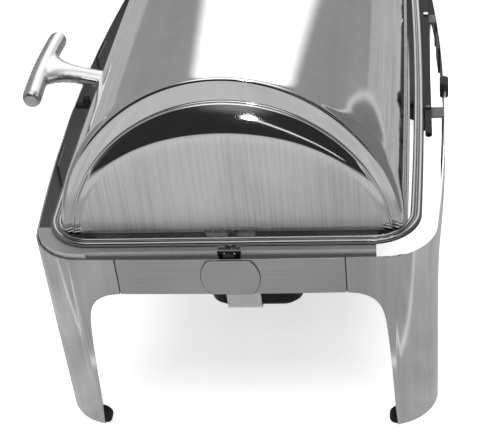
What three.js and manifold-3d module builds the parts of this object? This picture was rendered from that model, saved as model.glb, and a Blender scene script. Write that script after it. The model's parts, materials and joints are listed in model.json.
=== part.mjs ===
// Roll top chafer: a bowed leg frame, a rim ring, a rolling half-barrel lid, pans and two fuel holders.
// Millimetres, +Z up. X is the long axis, -Y the handle side, +Y the side the lid rolls back to.
import * as THREE from "three";
import { mergeVertices } from "three/addons/utils/BufferGeometryUtils.js";
import Module from "manifold-3d";

const wasm = await Module();
wasm.setup();

const GAP = 0.3; // air left between neighbouring pieces

// Leg frame
const SHEET = 1.8;
const FRAME = { halfX: 340, halfY: 216.5, bowX: 3, bowY: 20, corner: 50 };
const RAIL_TOP = 252;
const RAIL_BOTTOM = 204.5;
const END_SEAM = 124.3; // half width of an end rail
const SIDE_SEAM = 130; // half length of a side rail
const LEG_BOTTOM = 1;
const LEG_EDGE_AT_END = 175; // inner edge of a leg at the floor, seen from the end
const LEG_EDGE_AT_SIDE = 292; // inner edge of a leg at the floor, seen from the side

// Rim ring that the lid rolls inside
const RIM = { halfX: 328, halfY: 203.5, bowX: 0, bowY: 6.5, corner: 50 };
const RIM_WIDTH = 12;
const RIM_TOP = 264;
const RIM_BOTTOM = 258.6;

// Lid, a half barrel about the pivot axis
const PIVOT_Z = 251;
const LID_BASE = 252.5; // the lid closes down inside the rim
const LID_SHEET = 1.5;
const BARREL_RADIUS = 193; // at mid length
const BARREL_END_RADIUS = 190.3;
const PANEL_X = 308; // flat end panel
const SHOULDER_SEAM = 276; // the rounded shoulders are welded on outside this
const LATHE_STEPS = 44;
const BOLT_RADIUS = 4;

// Pans
const WATER_PAN = { halfX: 262, halfY: 160, top: 264.6, depth: 74, draft: 11, corner: 26, flange: 11 };
const FOOD_PAN = { halfX: 253, halfY: 150.5, top: 266.6, depth: 58, draft: 9, corner: 22, flange: 12 };
const PAN_SHEET = 1.4;

// Fuel holders
const HOLDER_X = 186.5;
const HOLDER_Y = 7.9;
const BOWL_HALF = 56;
const BOWL_CORNER = 22;
const BOWL_BOTTOM = 99;
const BOWL_HEIGHT = 30;
const STRAP_X = 246;
const STRAP_Y = -5.8;
const STRAP_WIDTH = 41;
const STRAP_CURL = 8;

// T handle
const HANDLE_Y = -274;
const HANDLE_Z = 294.5;
const HANDLE_LENGTH = 161;
const FOOT_ROUND = 11; // the glide ends in a half round, twice this high
const HANDLE_BOW = 3.5; // the ends of the bar bend this far towards the lid
const STEM_TILT = 14; // degrees above level
const STEM_SPREAD = 1.4; // the stem is an oval, wider along X

function material(color, metalness, roughness) {
  return new THREE.MeshStandardMaterial({ color, metalness, roughness });
}

const steel = () => material(0xc9cacc, 1, 0.15);
const brushed = () => material(0xb4b5b7, 1, 0.35);
const black = () => material(0x151515, 0, 0.5);

const group = new THREE.Group();
group.name = "roll_top_chafer";

function addNode(name, shape, makeMaterial) {
  const geometry = shape.isBufferGeometry ? shape : geometryOf(shape);
  const mesh = new THREE.Mesh(geometry, makeMaterial());
  mesh.name = name;
  group.add(mesh);
  return mesh;
}

// Three.js geometry to a manifold solid, and back.
function solidOf(geometry) {
  const bare = geometry.clone();
  bare.deleteAttribute("normal");
  bare.deleteAttribute("uv");
  const merged = mergeVertices(bare, 1e-4);
  const mesh = new wasm.Mesh({
    numProp: 3,
    vertProperties: new Float32Array(merged.attributes.position.array),
    triVerts: new Uint32Array(merged.index.array),
  });
  return new wasm.Manifold(mesh);
}

function geometryOf(solid) {
  const mesh = solid.getMesh();
  const geometry = new THREE.BufferGeometry();
  geometry.setAttribute("position", new THREE.BufferAttribute(new Float32Array(mesh.vertProperties), 3));
  geometry.setIndex(new THREE.BufferAttribute(new Uint32Array(mesh.triVerts), 1));
  geometry.computeVertexNormals();
  return geometry;
}

function box(x0, x1, y0, y1, z0, z1) {
  const geometry = new THREE.BoxGeometry(x1 - x0, y1 - y0, z1 - z0);
  geometry.translate((x0 + x1) / 2, (y0 + y1) / 2, (z0 + z1) / 2);
  return solidOf(geometry);
}

function extrude(shape, depth) {
  return new THREE.ExtrudeGeometry(shape, { depth, bevelEnabled: false, curveSegments: 4 });
}

// Shape drawn in X and Y, standing from z0 to z1.
function extrudeZ(shape, z0, z1) {
  return solidOf(extrude(shape, z1 - z0).translate(0, 0, z0));
}

// Shape drawn in Y and Z, running from x0 to x1.
function extrudeX(shape, x0, x1) {
  const turn = new THREE.Matrix4().makeBasis(
    new THREE.Vector3(0, 1, 0),
    new THREE.Vector3(0, 0, 1),
    new THREE.Vector3(1, 0, 0),
  );
  return solidOf(extrude(shape, x1 - x0).applyMatrix4(turn).translate(x0, 0, 0));
}

// Shape drawn in X and Z, running from y0 to y1.
function extrudeY(shape, y0, y1) {
  const turn = new THREE.Matrix4().makeBasis(
    new THREE.Vector3(1, 0, 0),
    new THREE.Vector3(0, 0, 1),
    new THREE.Vector3(0, -1, 0),
  );
  return solidOf(extrude(shape, y1 - y0).applyMatrix4(turn).translate(0, y1, 0));
}

function cylinderX(radius, x0, x1, y, z, sides = 20) {
  const geometry = new THREE.CylinderGeometry(radius, radius, x1 - x0, sides);
  geometry.rotateZ(Math.PI / 2).translate((x0 + x1) / 2, y, z);
  return solidOf(geometry);
}

function cylinderZ(radius, z0, z1, x, y, sides = 20) {
  const geometry = new THREE.CylinderGeometry(radius, radius, z1 - z0, sides);
  geometry.rotateX(Math.PI / 2).translate(x, y, (z0 + z1) / 2);
  return solidOf(geometry);
}

function polygon(points) {
  return new THREE.Shape(points.map(([a, b]) => new THREE.Vector2(a, b)));
}

// Rounded rectangle whose sides bow outwards, inset by a distance.
function bowedOutline(plan, inset, cornerSteps = 6, sideSteps = 8, endSteps = 4) {
  const halfX = plan.halfX - inset;
  const halfY = plan.halfY - inset;
  const corner = plan.corner - inset;
  const points = [];
  const addCorner = (signX, signY, startAngle) => {
    for (let i = 0; i <= cornerSteps; i++) {
      const angle = startAngle + (i / cornerSteps) * (Math.PI / 2);
      points.push([
        signX * (halfX - corner) + corner * Math.cos(angle),
        signY * (halfY - corner) + corner * Math.sin(angle),
      ]);
    }
  };
  const addSide = (fromX, fromY, toX, toY, steps) => {
    for (let i = 1; i < steps; i++) {
      points.push([fromX + ((toX - fromX) * i) / steps, fromY + ((toY - fromY) * i) / steps]);
    }
  };
  addCorner(1, 1, 0);
  addSide(halfX - corner, halfY, corner - halfX, halfY, sideSteps);
  addCorner(-1, 1, Math.PI / 2);
  addSide(-halfX, halfY - corner, -halfX, corner - halfY, endSteps);
  addCorner(-1, -1, Math.PI);
  addSide(corner - halfX, -halfY, halfX - corner, -halfY, sideSteps);
  addCorner(1, -1, 1.5 * Math.PI);
  addSide(halfX, corner - halfY, halfX, halfY - corner, endSteps);
  return points.map(([x, y]) => [
    x + Math.sign(x) * plan.bowX * (1 - (y / halfY) ** 2),
    y + Math.sign(y) * plan.bowY * (1 - (x / halfX) ** 2),
  ]);
}

// Upright wall that follows a bowed outline.
function wall(plan, outerInset, innerInset, z0, z1) {
  const shape = polygon(bowedOutline(plan, outerInset));
  shape.holes.push(new THREE.Path(polygon(bowedOutline(plan, innerInset)).getPoints()));
  return extrudeZ(shape, z0, z1);
}

// Opening between two legs: wide at the floor, narrowing up to a rounded top under the rail.
function archShape(seam, edgeTop, edgeFloor) {
  const half = [
    [edgeFloor + 0.4, -5],
    [edgeFloor - 2, 28],
    [edgeTop + 3, 104],
    [edgeTop + 1, 146],
    [edgeTop - 1, 168],
    [edgeTop - 5, 184],
    [edgeTop - 13, 195],
    [edgeTop - 26, 202],
    [Math.min(seam, edgeTop - 40), RAIL_BOTTOM - 0.5],
  ];
  const other = half.map(([a, b]) => [-a, b]).reverse();
  return polygon([...half, ...other]);
}

const ends = [
  ["right", 1],
  ["left", -1],
];
const corners = [
  ["front_right", 1, -1],
  ["front_left", -1, -1],
  ["rear_right", 1, 1],
  ["rear_left", -1, 1],
];

// Mirror in the plane x = 0, keeping the faces outwards.
const mirrored = (solid, sign) => (sign < 0 ? solid.mirror([1, 0, 0]) : solid);

const sideHalfWidth = (x) => FRAME.halfY + FRAME.bowY * (1 - (x / FRAME.halfX) ** 2);

function addFrame() {
  const band = wall(FRAME, 0, SHEET, LEG_BOTTOM, RAIL_TOP);
  const legBand = band
    .subtract(extrudeX(archShape(END_SEAM, LEG_EDGE_AT_END - 10, LEG_EDGE_AT_END), -400, 400))
    .subtract(extrudeY(archShape(SIDE_SEAM, LEG_EDGE_AT_SIDE - 9, LEG_EDGE_AT_SIDE), -300, 300));
  for (const [name, signX, signY] of corners) {
    const x = [SIDE_SEAM + GAP, 400].map((v) => v * signX).sort((a, b) => a - b);
    const y = [END_SEAM + GAP, 300].map((v) => v * signY).sort((a, b) => a - b);
    addNode("leg_" + name, legBand.intersect(box(...x, ...y, 0, 300)), steel);
  }
  const railBand = band.intersect(box(-400, 400, -300, 300, RAIL_BOTTOM, 300));
  for (const [name, sign] of ends) {
    const x = [200, 400].map((v) => v * sign).sort((a, b) => a - b);
    addNode("rail_end_" + name, railBand.intersect(box(...x, -END_SEAM, END_SEAM, 0, 300)), brushed);
    addNode("badge_" + name, mirrored(badge(), sign), brushed);
  }
  addNode("rail_front", railBand.intersect(box(-SIDE_SEAM, SIDE_SEAM, -300, -100, 0, 300)), steel);
  addNode("rail_rear", railBand.intersect(box(-SIDE_SEAM, SIDE_SEAM, 100, 300, 0, 300)), steel);
}

// Blank round plate, trimmed flat to the height of the rail.
function badge() {
  const radius = 32;
  const middle = (RAIL_TOP + RAIL_BOTTOM) / 2;
  const x = FRAME.halfX + FRAME.bowX + GAP;
  const disc = cylinderX(radius, x, x + 0.8, 0, middle, 48);
  return disc.intersect(box(300, 400, -50, 50, RAIL_BOTTOM + 0.8, RAIL_TOP - 0.8));
}

// Plates behind the four seams of the side rails.
function addSplices() {
  for (const [name, signX, signY] of corners) {
    const geometry = new THREE.BoxGeometry(46, 2, 38);
    const slope = (2 * FRAME.bowY * SIDE_SEAM) / FRAME.halfX ** 2;
    geometry.rotateZ(-signX * signY * slope);
    const y = signY * (sideHalfWidth(SIDE_SEAM) - SHEET - 1 - 2 * GAP);
    geometry.translate(signX * SIDE_SEAM, y, (RAIL_TOP + RAIL_BOTTOM) / 2);
    addNode("splice_" + name, geometry, brushed);
  }
}

// Glides inside the foot of each leg, showing a rounded end past the end wing.
function addFeet() {
  const ring = wall(FRAME, SHEET + GAP, SHEET + GAP + 8, 0, 2 * FOOT_ROUND);
  for (const [name, signX, signY] of corners) {
    const x = [LEG_EDGE_AT_SIDE - 4, 400].map((v) => v * signX).sort((a, b) => a - b);
    const middle = LEG_EDGE_AT_END - 10 + FOOT_ROUND;
    const y = [middle, 300].map((v) => v * signY).sort((a, b) => a - b);
    const end = cylinderX(FOOT_ROUND, ...x, signY * middle, FOOT_ROUND);
    addNode("foot_" + name, ring.intersect(box(...x, ...y, -1, 30).add(end)), black);
  }
}

function addRim() {
  const flat = wall(RIM, 0, RIM_WIDTH, RIM_BOTTOM + 1, RIM_TOP);
  const lowEdge = wall(RIM, 1.2, RIM_WIDTH - 1.2, RIM_BOTTOM, RIM_BOTTOM + 1.2);
  const groove = wall(RIM, 5.2, 7.4, RIM_TOP - 1.4, RIM_TOP + 2);
  addNode("rim_ring", flat.add(lowEdge).subtract(groove), steel);
}

// Angle bracket behind each end rail: carries the rim and the pivot bolt, and joins rail and legs.
// Its shelf runs on round the handle-side corner.
function addEndBrackets() {
  const plateX = 333.6;
  const top = RIM_BOTTOM - GAP;
  const upright = box(plateX, plateX + 2, -157, 157, 206, top);
  const shelf = box(318, plateX + 2, -157, 157, top - 2, top);
  const notch = box(310, plateX, -12, 12, 250, 270);
  const slots = box(300, 350, -90, -60, 222, 234).add(box(300, 350, 60, 90, 222, 234));
  const hole = cylinderX(BOLT_RADIUS + GAP, 300, 350, 0, PIVOT_Z);
  const inset = SHEET + GAP + 1;
  const ledge = wall(FRAME, inset, 26, top - 2, top).add(wall(FRAME, inset, inset + 2, 240, top));
  const gusset = ledge.intersect(box(290, 345, -240, -156, 200, 300));
  const bracket = upright.add(shelf).add(gusset).subtract(notch).subtract(slots).subtract(hole);
  for (const [name, sign] of ends) addNode("end_bracket_" + name, mirrored(bracket, sign), brushed);
}

// Bolts on the pivot axis, each with a sleeve outside the lid bracket and a nut at the pan hanger.
function addPivots() {
  const shaft = cylinderX(BOLT_RADIUS, 264.6, 336.2, 0, PIVOT_Z, 32);
  const head = cylinderX(7, 335.9, 340.2, 0, PIVOT_Z, 6);
  const bolt = shaft.add(head);
  const bore = cylinderX(BOLT_RADIUS + GAP, 200, 340, 0, PIVOT_Z);
  const sleeve = cylinderX(6.5, 311.6, 333.3, 0, PIVOT_Z).subtract(bore);
  const nut = cylinderX(6.6, 265, 269.4, 0, PIVOT_Z, 6).subtract(bore);
  for (const [name, sign] of ends) {
    addNode("pivot_bolt_" + name, mirrored(bolt, sign), steel);
    addNode("pivot_sleeve_" + name, mirrored(sleeve, sign), steel);
    addNode("pivot_nut_" + name, mirrored(nut, sign), steel);
  }
}

// Rounded box that tapers by draft towards its bottom.
function taperedBox(halfX, halfY, corner, z0, z1, draft) {
  const shape = new THREE.Shape();
  shape.moveTo(corner - halfX, -halfY);
  shape.lineTo(halfX - corner, -halfY);
  shape.absarc(halfX - corner, corner - halfY, corner, -Math.PI / 2, 0, false);
  shape.lineTo(halfX, halfY - corner);
  shape.absarc(halfX - corner, halfY - corner, corner, 0, Math.PI / 2, false);
  shape.lineTo(corner - halfX, halfY);
  shape.absarc(corner - halfX, halfY - corner, corner, Math.PI / 2, Math.PI, false);
  shape.lineTo(-halfX, corner - halfY);
  shape.absarc(corner - halfX, corner - halfY, corner, Math.PI, 1.5 * Math.PI, false);
  const geometry = extrude(shape, z1 - z0).translate(0, 0, z0);
  const position = geometry.attributes.position;
  for (let i = 0; i < position.count; i++) {
    const low = (z1 - position.getZ(i)) / (z1 - z0);
    position.setX(i, position.getX(i) * (1 - (low * draft) / halfX));
    position.setY(i, position.getY(i) * (1 - (low * draft) / halfY));
  }
  return solidOf(geometry);
}

function pan(size) {
  const { halfX, halfY, top, depth, draft, corner, flange } = size;
  const outer = taperedBox(halfX, halfY, corner, top - depth, top, draft);
  const lip = taperedBox(halfX + flange, halfY + flange, corner + flange, top - PAN_SHEET, top, 0);
  const floor = top - depth + PAN_SHEET;
  const innerDraft = (draft * (depth - PAN_SHEET)) / depth;
  const [innerX, innerY, innerCorner] = [halfX, halfY, corner].map((v) => v - PAN_SHEET);
  const cavity = taperedBox(innerX, innerY, innerCorner, floor, top + 1, innerDraft);
  return outer.add(lip).subtract(cavity);
}

function addPans() {
  addNode("water_pan", pan(WATER_PAN), brushed);
  addNode("food_pan", pan(FOOD_PAN), brushed);
  const flangeUnder = WATER_PAN.top - PAN_SHEET - GAP;
  const plate = box(269.8, 271.8, -26, 26, 236, flangeUnder);
  const tab = box(WATER_PAN.halfX + GAP, 271.8, -26, 26, flangeUnder - 1.6, flangeUnder);
  const hole = cylinderX(BOLT_RADIUS + GAP, 200, 340, 0, PIVOT_Z);
  const hanger = plate.add(tab).subtract(hole);
  for (const [name, sign] of ends) {
    addNode("pan_hanger_" + name, mirrored(hanger, sign), brushed);
    addNode("pan_hook_" + name, mirrored(panHook(), sign), brushed);
  }
}

// Strap that ties the front of the water pan to the underside of the rim.
function panHook() {
  const rimUnder = RIM_BOTTOM - GAP;
  const step = box(140, 165, -197, -161.5, 245, 247);
  const rise = box(140, 165, -197, -195, 245, rimUnder);
  const toe = box(140, 165, -206, -195, rimUnder - 2, rimUnder);
  const heel = box(140, 165, -163.5, -161.5, 236, 258);
  return step.add(rise).add(toe).add(heel);
}

// Sweeps a closed profile about the X axis while blending it from its side form to its crown form.
function blendedBarrel(side, crown) {
  const start = side.map(([x, r]) => new THREE.Vector2(r, x));
  const geometry = new THREE.LatheGeometry(start, LATHE_STEPS);
  const position = geometry.attributes.position;
  for (let i = 0; i <= LATHE_STEPS; i++) {
    const angle = ((i % LATHE_STEPS) / LATHE_STEPS) * 2 * Math.PI;
    const share = Math.sin(angle) ** 2;
    side.forEach(([x, r], j) => {
      const blendedX = x + (crown[j][0] - x) * share;
      const blendedR = r + (crown[j][1] - r) * share;
      const k = i * side.length + j;
      position.setXYZ(k, blendedX, blendedR * Math.cos(angle), PIVOT_Z + blendedR * Math.sin(angle));
    });
  }
  return solidOf(geometry);
}

const aboveBase = (solid) => solid.subtract(box(-400, 400, -300, 300, 0, LID_BASE));

// Outer skin from one lip to the other, given the points of one shoulder.
function shellProfile(shoulder, inset) {
  const body = [90, 175, 250].map((x) => [
    x,
    BARREL_RADIUS - (BARREL_RADIUS - BARREL_END_RADIUS) * (x / 280) ** 2 - inset,
  ]);
  const half = [...body, ...shoulder];
  const other = half.map(([x, r]) => [-x, r]).reverse();
  return [...other, [0, BARREL_RADIUS - inset], ...half];
}

// Barrel and both shoulders as one skin, cut later at the shoulder seams.
function lidSkin() {
  const sideOut = [[280, 190.3], [291, 189], [299, 185], [304.5, 179.5], [306.8, 173.6]];
  const sideIn = [[279.6, 188.8], [290.4, 187.6], [298.1, 183.8], [303.2, 178.8], [305.2, 173.6]];
  const crownOut = [[279, 190.3], [283.6, 189.4], [286, 186], [286.8, 178], [287.4, 163.7]];
  const crownIn = [[278.6, 188.8], [282.4, 188], [284.3, 185.4], [285.2, 178], [285.8, 163.7]];
  const closed = (out, inner) => {
    const loop = [...shellProfile(out, 0), ...shellProfile(inner, LID_SHEET).reverse()];
    return [...loop, loop[0]];
  };
  return aboveBase(blendedBarrel(closed(sideOut, sideIn), closed(crownOut, crownIn)));
}

// End panel: a flat D face, and a sloping crescent that runs back to the lip under the crown.
function lidEnd() {
  const back = PANEL_X - LID_SHEET;
  const sideOut = [[PANEL_X, 0], [PANEL_X, 90], [PANEL_X, 168], [306.8, 173.3]];
  const sideIn = [[305.2, 173.3], [back, 166], [back, 90], [back, 0]];
  const crownOut = [[PANEL_X, 0], [PANEL_X, 80], [PANEL_X, 138], [287.4, 163.4]];
  const crownIn = [[285.8, 163.4], [back, 137], [back, 80], [back, 0]];
  const side = [...sideOut, ...sideIn];
  const crown = [...crownOut, ...crownIn];
  const boltRoom = cylinderX(BOLT_RADIUS + 3, 300, 320, 0, PIVOT_Z);
  return aboveBase(blendedBarrel(side.reverse(), crown.reverse())).subtract(boltRoom);
}

// Trapezoid ear under each end panel, with the pivot hole.
function lidBracket() {
  const x0 = PANEL_X + GAP;
  const outline = polygon([[-29, 269.5], [-22, 243.5], [22, 243.5], [29, 269.5]]);
  const bore = cylinderX(BOLT_RADIUS + 0.06, 300, 320, 0, PIVOT_Z, 32);
  return extrudeX(outline, x0, x0 + 2.2).subtract(bore);
}

function addLid() {
  const skin = lidSkin();
  const seam = SHOULDER_SEAM - GAP / 2;
  addNode("lid_shell", skin.intersect(box(-seam, seam, -300, 300, 200, 500)), steel);
  const shoulder = skin.intersect(box(seam + GAP, 400, -300, 300, 200, 500));
  for (const [name, sign] of ends) {
    addNode("lid_shoulder_" + name, mirrored(shoulder, sign), steel);
    addNode("lid_end_" + name, mirrored(lidEnd(), sign), brushed);
    addNode("lid_bracket_" + name, mirrored(lidBracket(), sign), brushed);
  }
}

// Turned solid along a direction that starts at a point in the Y-Z plane and rises by STEM_TILT.
function alongStem(profile, startY, startZ, spread = 1) {
  const geometry = new THREE.LatheGeometry(profile.map(([r, h]) => new THREE.Vector2(r, h)), 18);
  const tilt = THREE.MathUtils.degToRad(STEM_TILT);
  geometry.rotateX(Math.PI / 2).scale(spread, 1, 1);
  const outwards = new THREE.Vector3(0, -Math.cos(tilt), Math.sin(tilt));
  const turn = new THREE.Quaternion().setFromUnitVectors(new THREE.Vector3(0, 0, 1), outwards);
  return solidOf(geometry.applyQuaternion(turn).translate(0, startY, startZ));
}

function handleBar() {
  const half = HANDLE_LENGTH / 2;
  const profile = [
    [0, -half],
    [7, -half + 1],
    [10.6, -half + 6],
    [11.2, -half + 22],
    [11.7, -34],
    [12.3, 0],
    [11.7, 34],
    [11.2, half - 22],
    [10.6, half - 6],
    [7, half - 1],
    [0, half],
  ];
  const bar = new THREE.LatheGeometry(profile.map(([r, h]) => new THREE.Vector2(r, h)), 18);
  bar.rotateZ(-Math.PI / 2);
  const position = bar.attributes.position;
  for (let i = 0; i < position.count; i++) {
    position.setY(i, position.getY(i) + HANDLE_BOW * (position.getX(i) / half) ** 2);
  }
  return solidOf(bar.translate(0, HANDLE_Y, HANDLE_Z));
}

function addHandle() {
  const stemLength = 81;
  const tilt = THREE.MathUtils.degToRad(STEM_TILT);
  const stemY = HANDLE_Y + Math.cos(tilt) * stemLength;
  const stemZ = HANDLE_Z - Math.sin(tilt) * stemLength;
  const stemProfile = [[0, 0], [9.7, 0], [9.7, 24], [10, 42], [10.6, 60], [11.6, 72], [9, 80], [0, 80]];
  const stem = alongStem(stemProfile, stemY, stemZ, STEM_SPREAD);
  const padRoom = cylinderX(BARREL_RADIUS + 5 * GAP + 2, -70, 70, 0, PIVOT_Z, 88);
  addNode("handle", handleBar().add(stem.subtract(padRoom)), steel);
  addNode("handle_base", handleBase(stemY, stemZ), steel);
  addNode("handle_screw", handleScrew(stemY, stemZ), steel);
}

// Oval pad between the stem and the barrel, following the barrel's curve.
function handleBase(stemY, stemZ) {
  const inner = BARREL_RADIUS + 2 * GAP;
  const hollow = cylinderX(inner, -80, 80, 0, PIVOT_Z, 88);
  const ring = cylinderX(inner + 2.6, -70, 70, 0, PIVOT_Z, 88).subtract(hollow);
  const oval = new THREE.Shape();
  oval.absellipse(0, 0, 40, 11, 0, 2 * Math.PI, false, 0);
  const pad = new THREE.ExtrudeGeometry(oval, { depth: 16, bevelEnabled: false, curveSegments: 10 });
  const tilt = THREE.MathUtils.degToRad(STEM_TILT);
  pad.translate(0, 0, -12).rotateX(Math.PI / 2 - tilt).translate(0, stemY, stemZ);
  return solidOf(pad).intersect(ring);
}

function handleScrew(stemY, stemZ) {
  const tilt = THREE.MathUtils.degToRad(STEM_TILT);
  const inside = 10.4;
  const startY = stemY + Math.cos(tilt) * inside;
  const startZ = stemZ - Math.sin(tilt) * inside;
  return alongStem([[0, 0], [6, 0], [6, 3], [0, 3]], startY, startZ);
}

// Steel strap that hangs from the water pan, curls round and runs under the fuel bowl.
function fuelStrap() {
  const top = WATER_PAN.top - WATER_PAN.depth - GAP;
  const low = BOWL_BOTTOM - GAP - 2;
  const curlX = STRAP_X - STRAP_CURL;
  const curlZ = low + STRAP_CURL;
  const shape = new THREE.Shape();
  shape.moveTo(205, top);
  shape.lineTo(205, top - 2);
  shape.lineTo(STRAP_X - 2, top - 2);
  shape.lineTo(STRAP_X - 2, curlZ);
  shape.absarc(curlX, curlZ, STRAP_CURL - 2, 0, -Math.PI / 2, true);
  shape.lineTo(150, low + 2);
  shape.lineTo(150, low);
  shape.lineTo(curlX, low);
  shape.absarc(curlX, curlZ, STRAP_CURL, -Math.PI / 2, 0, false);
  shape.lineTo(STRAP_X, top);
  return extrudeY(shape, STRAP_Y - STRAP_WIDTH / 2, STRAP_Y + STRAP_WIDTH / 2);
}

// Square bowl with rounded corners and a chamfered bottom edge.
function fuelBowl() {
  const sheet = 2;
  const chamfer = 5;
  const top = BOWL_BOTTOM + BOWL_HEIGHT;
  const turn = BOWL_BOTTOM + chamfer;
  const low = BOWL_HALF - 1;
  const floor = BOWL_BOTTOM + sheet;
  const foot = taperedBox(low, low, BOWL_CORNER - 1, BOWL_BOTTOM, turn, 4);
  const outer = taperedBox(BOWL_HALF, BOWL_HALF, BOWL_CORNER, turn, top, 1).add(foot);
  const room = low - sheet;
  const inFoot = taperedBox(room, room, BOWL_CORNER - 3, floor, turn + 1, 3.5);
  const inTop = taperedBox(room + 1, room + 1, BOWL_CORNER - 2, turn + 1, top + 1, 1);
  return outer.subtract(inFoot).subtract(inTop).translate(HOLDER_X, HOLDER_Y, 0);
}

function addFuelHolders() {
  const rim = BOWL_BOTTOM + BOWL_HEIGHT;
  const postY = HOLDER_Y + BOWL_HALF + 7;
  const ear = box(HOLDER_X - 6, HOLDER_X + 6, HOLDER_Y + BOWL_HALF - 1.6, postY + 6, rim - 3, rim - 0.2);
  const hole = cylinderZ(2.6, rim - 20, rim + 30, HOLDER_X, postY);
  const bowl = fuelBowl().add(ear).subtract(hole);
  const lid = taperedBox(BOWL_HALF - 2, BOWL_HALF - 2, BOWL_CORNER, rim + 0.5, rim + 3, 0);
  const knobProfile = [[0, 0], [12, 0], [4.5, 5], [4, 11], [8, 14], [8, 18], [0, 19]];
  const knob = new THREE.LatheGeometry(knobProfile.map(([r, h]) => new THREE.Vector2(r, h)), 24);
  const arm = box(HOLDER_X - 6, HOLDER_X + 6, HOLDER_Y + 40, postY + 6, rim + 0.5, rim + 2.7);
  const cover = lid
    .add(solidOf(knob.rotateX(Math.PI / 2).translate(0, 0, rim + 2)))
    .translate(HOLDER_X, HOLDER_Y, 0)
    .add(arm)
    .subtract(hole);
  const pinHead = cylinderZ(4.5, rim + 3, rim + 5.4, HOLDER_X, postY);
  const pin = cylinderZ(2.55, rim - 5, rim + 5.4, HOLDER_X, postY, 20).add(pinHead);
  for (const [name, sign] of ends) {
    const place = (solid) => (sign < 0 ? solid.rotate([0, 0, 180]) : solid);
    addNode("fuel_strap_" + name, place(fuelStrap()), brushed);
    addNode("fuel_bowl_" + name, place(bowl), black);
    addNode("fuel_cover_" + name, place(cover), steel);
    addNode("fuel_pin_" + name, place(pin), steel);
  }
}

// Rubber clip that straddles the top edge of the rear rail.
function rearBumper() {
  const halfLength = 10.5;
  const width = 11;
  const y = sideHalfWidth(0) - SHEET / 2;
  const end = halfLength - width / 2;
  const shape = new THREE.Shape();
  shape.absarc(end, 0, width / 2, -Math.PI / 2, Math.PI / 2, false);
  shape.absarc(-end, 0, width / 2, Math.PI / 2, 1.5 * Math.PI, false);
  const settings = { depth: 20, bevelEnabled: false, curveSegments: 8 };
  const block = solidOf(new THREE.ExtrudeGeometry(shape, settings).translate(0, y, 242));
  const halfSlot = SHEET / 2 + 0.6;
  return block.subtract(box(-60, 60, y - halfSlot, y + halfSlot, 200, RAIL_TOP + GAP));
}

// Rubber stop below the stem, on an arm from the inside of the front rail.
function frontBumper() {
  const x = 14;
  const railInside = sideHalfWidth(x + 4) - SHEET - GAP;
  const arm = box(x - 4, x + 4, -railInside, -221, 244, 249);
  return cylinderZ(4.8, 244, 258, x, -221).add(arm);
}

function addBumpers() {
  addNode("bumper_rear", rearBumper(), black);
  addNode("bumper_front", frontBumper(), black);
}

// Black bar along the back of the rim, held by two brackets off the rear legs.
function addRearBar() {
  const barX = -55;
  const halfLength = 175;
  const shape = new THREE.Shape();
  shape.absarc(halfLength - 4, 0, 4, -Math.PI / 2, Math.PI / 2, false);
  shape.absarc(4 - halfLength, 0, 4, Math.PI / 2, 1.5 * Math.PI, false);
  const bar = new THREE.ExtrudeGeometry(shape, { depth: 6, bevelEnabled: false, curveSegments: 8 });
  const screws = [
    ["near", barX + 119],
    ["far", barX - 120],
  ];
  let drilled = solidOf(bar.translate(barX, 215, 256));
  for (const [, x] of screws) drilled = drilled.subtract(cylinderZ(2.3, 250, 270, x, 215));
  addNode("rear_bar", drilled, black);
  for (const [name, x] of screws) {
    const shank = cylinderZ(2, 250, 262.5, x, 215, 12);
    addNode("rear_bar_screw_" + name, shank.add(cylinderZ(3.4, 262.3, 264, x, 215, 16)), steel);
    const railInside = sideHalfWidth(Math.abs(x) + 11) - SHEET - GAP;
    const shelf = box(x - 11, x + 11, 211.2, railInside, 253.7, 255.7);
    const drop = box(x - 11, x + 11, railInside - 2, railInside, 218, 255.7);
    const hole = cylinderZ(2.3, 240, 260, x, 215);
    addNode("rear_bracket_" + name, shelf.subtract(hole).add(drop), brushed);
  }
}

addFrame();
addSplices();
addFeet();
addRim();
addEndBrackets();
addPivots();
addPans();
addLid();
addHandle();
addFuelHolders();
addBumpers();
addRearBar();

// The origin is the middle of the base, so the handle's overhang shifts the group along Y.
const extent = new THREE.Box3().setFromObject(group);
group.position.set(-(extent.min.x + extent.max.x) / 2, -(extent.min.y + extent.max.y) / 2, -extent.min.z);
group.updateMatrixWorld(true);

export default group;
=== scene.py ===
"""Roll top chafer: detailed pieces, materials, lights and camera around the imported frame."""
import json
import math
import bmesh
import bpy
from mathutils import Matrix, Vector


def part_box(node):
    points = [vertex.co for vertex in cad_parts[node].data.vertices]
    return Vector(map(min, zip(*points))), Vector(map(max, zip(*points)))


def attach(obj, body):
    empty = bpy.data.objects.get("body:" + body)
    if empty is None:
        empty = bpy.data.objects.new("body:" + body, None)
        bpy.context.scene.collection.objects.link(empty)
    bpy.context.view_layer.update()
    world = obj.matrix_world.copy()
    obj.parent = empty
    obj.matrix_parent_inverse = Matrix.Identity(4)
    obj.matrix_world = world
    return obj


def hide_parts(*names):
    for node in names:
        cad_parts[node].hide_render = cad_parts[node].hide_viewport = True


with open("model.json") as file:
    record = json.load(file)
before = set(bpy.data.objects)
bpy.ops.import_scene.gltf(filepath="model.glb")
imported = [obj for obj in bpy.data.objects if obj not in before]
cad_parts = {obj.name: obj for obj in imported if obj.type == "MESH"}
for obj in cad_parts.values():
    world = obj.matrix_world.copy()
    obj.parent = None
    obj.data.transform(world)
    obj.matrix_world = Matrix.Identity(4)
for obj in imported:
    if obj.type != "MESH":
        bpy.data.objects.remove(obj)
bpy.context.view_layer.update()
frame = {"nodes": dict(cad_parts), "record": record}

# The rim is centred on the pivots. The handle reaches further, so the rim's middle is off the origin.
SHIFT_Y = (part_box("rim_ring")[0][1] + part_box("rim_ring")[1][1]) / 2
PIVOT_Z = 0.251
LID_BASE = 0.2526
BAND_TOP = 0.2643  # below this the lid closes down inside the rim
RAIL_TOP = 0.252
RAIL_BOTTOM = 0.2045
SHEET = 0.0018
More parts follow.
